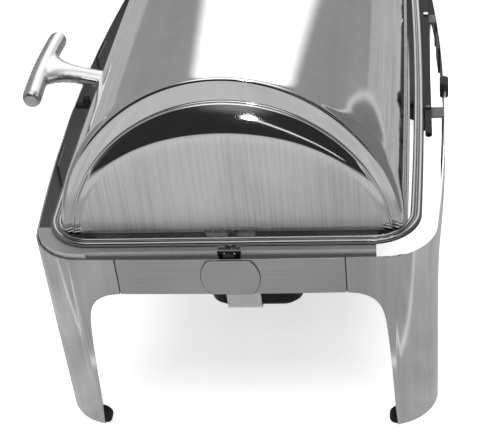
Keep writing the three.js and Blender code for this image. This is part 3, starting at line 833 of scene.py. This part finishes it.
def mix(nt, a, b, share):
    """Blend of two strengths."""
    n = nt.nodes.new("ShaderNodeMix")
    for i, v in ((0, share), (2, a), (3, b)):
        if isinstance(v, (int, float)):
            n.inputs[i].default_value = v
        else:
            nt.links.new(v, n.inputs[i])
    return n.outputs[0]


def empty_material(name):
    m = bpy.data.materials.new(name)
    m.use_nodes = True
    m.node_tree.nodes.clear()
    return m, m.node_tree


def emission(nt, strength, cover=None):
    out = nt.nodes.new("ShaderNodeOutputMaterial")
    e = nt.nodes.new("ShaderNodeEmission")
    if isinstance(strength, (int, float)):
        e.inputs["Strength"].default_value = strength
    else:
        nt.links.new(strength, e.inputs["Strength"])
    if cover is None:
        nt.links.new(e.outputs[0], out.inputs[0])
        return
    clear = nt.nodes.new("ShaderNodeBsdfTransparent")
    blend = nt.nodes.new("ShaderNodeMixShader")
    nt.links.new(cover, blend.inputs[0])
    nt.links.new(clear.outputs[0], blend.inputs[1])
    nt.links.new(e.outputs[0], blend.inputs[2])
    nt.links.new(blend.outputs[0], out.inputs[0])


def mirror_only(ob):
    ob.visible_camera = False
    ob.visible_diffuse = False
    ob.visible_shadow = False
    ob.visible_transmission = False


def soft_card(name, centre, normal, width, height, value, soft_u=0.25, soft_v=0.2):
    """Soft-edged card seen only in the steel. Its local x runs across and its local y upwards."""
    n = Vector(normal).normalized()
    side = Vector((0, 0, 1)).cross(n).normalized()
    up = n.cross(side)
    m, nt = empty_material(name)
    tc = nt.nodes.new("ShaderNodeTexCoord")
    sep = nt.nodes.new("ShaderNodeSeparateXYZ")
    nt.links.new(tc.outputs["Object"], sep.inputs[0])
    ax = math_node(nt, "ABSOLUTE", sep.outputs["X"])
    ay = math_node(nt, "ABSOLUTE", sep.outputs["Y"])
    cover = math_node(
        nt, "MULTIPLY",
        step(nt, ax, width / 2, width / 2 * (1 - soft_u)),
        step(nt, ay, height / 2, height / 2 * (1 - soft_v)),
    )
    emission(nt, value, cover)
    w, h = width / 2, height / 2
    ob = stage_plane(name, [(-w, -h, 0), (w, -h, 0), (w, h, 0), (-w, h, 0)], m, False)
    place = Matrix((side, up, n)).transposed().to_4x4()
    place.translation = centre
    ob.matrix_world = place
    mirror_only(ob)
    return ob


def floor_glow():
    """What the steel sees of the floor: soft streaks, darker just past the near end and lighter further out."""
    m, nt = empty_material("floor_in_steel")
    tc = nt.nodes.new("ShaderNodeTexCoord")
    sep = nt.nodes.new("ShaderNodeSeparateXYZ")
    nt.links.new(tc.outputs["Object"], sep.inputs[0])
    front = step(nt, sep.outputs["X"], 0.45, 0.47)
    streaks = noise(nt, coords(nt, (0.8, 5.0, 1)), 2.2, 5.0, 0.6)
    cloud = noise(nt, coords(nt, (1, 1, 1)), 1.6, 2.0)
    far = mix(nt, mix(nt, 0.47, 0.38, front), 0.58, step(nt, sep.outputs["X"], 0.84, 1.02))
    wobble = math_node(nt, "MULTIPLY", spread(nt, streaks, 0.50, 1.50), spread(nt, cloud, 0.8, 1.2))
    strength = math_node(nt, "MULTIPLY", far, wobble)
    edge = math_node(
        nt, "MULTIPLY",
        step(nt, sep.outputs["X"], 0.436, 0.444),
        step(nt, sep.outputs["X"], 0.460, 0.452),
    )
    emission(nt, math_node(nt, "ADD", strength, math_node(nt, "MULTIPLY", edge, 0.5)))
    size, height = 6, 0.001
    corners = [(-size, -size, height), (size, -size, height), (size, size, height), (-size, size, height)]
    mirror_only(stage_plane("floor_in_steel", corners, m, False))


def dome_card(name, y, half_x, half_z, centre_x, centre_z, value, outline):
    """Oval board beside the chafer, with a lighter edge."""
    m, nt = empty_material(name)
    tc = nt.nodes.new("ShaderNodeTexCoord")
    sep = nt.nodes.new("ShaderNodeSeparateXYZ")
    nt.links.new(tc.outputs["Object"], sep.inputs[0])
    squares = []
    for axis, half in (("X", half_x), ("Z", half_z)):
        share = math_node(nt, "ABSOLUTE", math_node(nt, "DIVIDE", sep.outputs[axis], half))
        squares.append(math_node(nt, "POWER", share, 2.0))
    out = math_node(nt, "SQRT", math_node(nt, "ADD", *squares))
    wobble = noise(nt, coords(nt, (9, 1, 1.2)), 1.5, 4.0)
    inside = math_node(nt, "MULTIPLY", spread(nt, wobble, 0.6, 1.4), value)
    emission(nt, mix(nt, inside, outline, step(nt, out, 0.93, 0.96)), step(nt, out, 1.0, 0.985))
    w, h = half_x, half_z
    ob = stage_plane(name, [(-w, 0, -h), (w, 0, -h), (w, 0, h), (-w, 0, h)], m, False)
    ob.location = (centre_x, y, centre_z)
    mirror_only(ob)


floor_glow()
soft_card("card_far", (-2.4, 0.08, 2.05), (1, 0.0, -0.45), 2.45, 2.8, 1.6, 0.30, 0.15)
dome_card("board_rear", 0.80, 0.80, 0.80, 0.0, 0.25, 0.20, 0.70)
dome_card("board_front", -0.85, 0.74, 0.56, 0.0, 0.05, 0.26, 0.66)


def light_over(height, size, power):
    """Large soft light straight overhead. The steel doesn't mirror it: the cards and the room do that."""
    d = bpy.data.lights.new("light_over", "AREA")
    d.shape = "RECTANGLE"
    d.size, d.size_y, d.energy = size, size, power
    ob = bpy.data.objects.new("light_over", d)
    bpy.context.collection.objects.link(ob)
    ob.location = (0.0, 0.0, height)
    ob.visible_glossy = False
    ob.visible_camera = False


light_over(3.0, 4.0, 120)


def direction_share(nt, direction, toward, start, end):
    n = nt.nodes.new("ShaderNodeVectorMath")
    n.operation = "DOT_PRODUCT"
    n.inputs[1].default_value = Vector(toward).normalized()
    nt.links.new(direction, n.inputs[0])
    return step(nt, n.outputs["Value"], start, end)


WALLS, CEILING, DARK_SIDE, STREAK, LAMP = 0.42, 1.9, 0.035, 1.6, 30.0  # strengths
LAMP_AT = Vector((0.645, 0.04, 0.765)).normalized()
STREAK_END = Vector((0.82, 0.56, 0.17)).normalized()


def make_world():
    """Studio room: grey walls, a bright ceiling, and a dark side behind and above the camera."""
    world = bpy.data.worlds.new("studio")
    bpy.context.scene.world = world
    world.use_nodes = True
    nt = world.node_tree
    nt.nodes.clear()
    out = nt.nodes.new("ShaderNodeOutputWorld")
    back = nt.nodes.new("ShaderNodeBackground")
    nt.links.new(back.outputs[0], out.inputs[0])
    tc = nt.nodes.new("ShaderNodeTexCoord")
    d = tc.outputs["Generated"]
    sep = nt.nodes.new("ShaderNodeSeparateXYZ")
    nt.links.new(d, sep.inputs[0])
    walls = math_node(nt, "MULTIPLY", spread(nt, noise(nt, d, 2.6, 3.0), 0.75, 1.25), WALLS)
    level = mix(nt, walls, CEILING, step(nt, sep.outputs["Z"], 0.84, 0.96))
    near_side = step(nt, sep.outputs["X"], 0.20, 0.42)
    low = step(nt, sep.outputs["Z"], -0.02, 0.06)
    high = step(nt, sep.outputs["Z"], 0.86, 0.79)
    dark = math_node(nt, "MULTIPLY", near_side, math_node(nt, "MULTIPLY", low, high))
    level = mix(nt, level, DARK_SIDE, dark)
    n = nt.nodes.new("ShaderNodeVectorMath")
    n.operation = "DOT_PRODUCT"
    n.inputs[1].default_value = LAMP_AT.cross(STREAK_END).normalized()
    nt.links.new(d, n.inputs[0])
    thin = step(nt, math_node(nt, "ABSOLUTE", n.outputs["Value"]), 0.022, 0.010)
    middle = LAMP_AT + STREAK_END
    run = direction_share(nt, d, middle, LAMP_AT.dot(middle.normalized()) - 0.01, 0.93)
    level = mix(nt, level, STREAK, math_node(nt, "MULTIPLY", thin, run))
    level = mix(nt, level, LAMP, direction_share(nt, d, LAMP_AT, 0.9990, 0.9997))
    nt.links.new(level, back.inputs["Strength"])


make_world()


# ---------------------------------------------------------------- camera
def make_camera():
    """Long lens above the near end, looking down along the lid, a little turned, rolled and shifted."""
    pitch, yaw, roll_angle = math.radians(36.93), math.radians(7.66), math.radians(-5.40)
    forward = Vector((
        -math.cos(pitch) * math.cos(yaw), -math.cos(pitch) * math.sin(yaw), -math.sin(pitch),
    ))
    level = forward.cross(Vector((0, 0, 1))).normalized()
    upright = level.cross(forward)
    right = level * math.cos(roll_angle) + upright * math.sin(roll_angle)
    up = -level * math.sin(roll_angle) + upright * math.cos(roll_angle)
    d = bpy.data.cameras.new("camera")
    d.sensor_width = 36.0
    d.lens = 90.67
    d.shift_x, d.shift_y = -0.068, 0.017
    ob = bpy.data.objects.new("camera", d)
    bpy.context.collection.objects.link(ob)
    m = Matrix((right, up, -forward)).transposed().to_4x4()
    m.translation = (1.3760, 0.2020 + SHIFT_Y, 1.0810)
    ob.matrix_world = m
    bpy.context.scene.camera = ob


make_camera()
bpy.context.scene.view_settings.view_transform = "Standard"
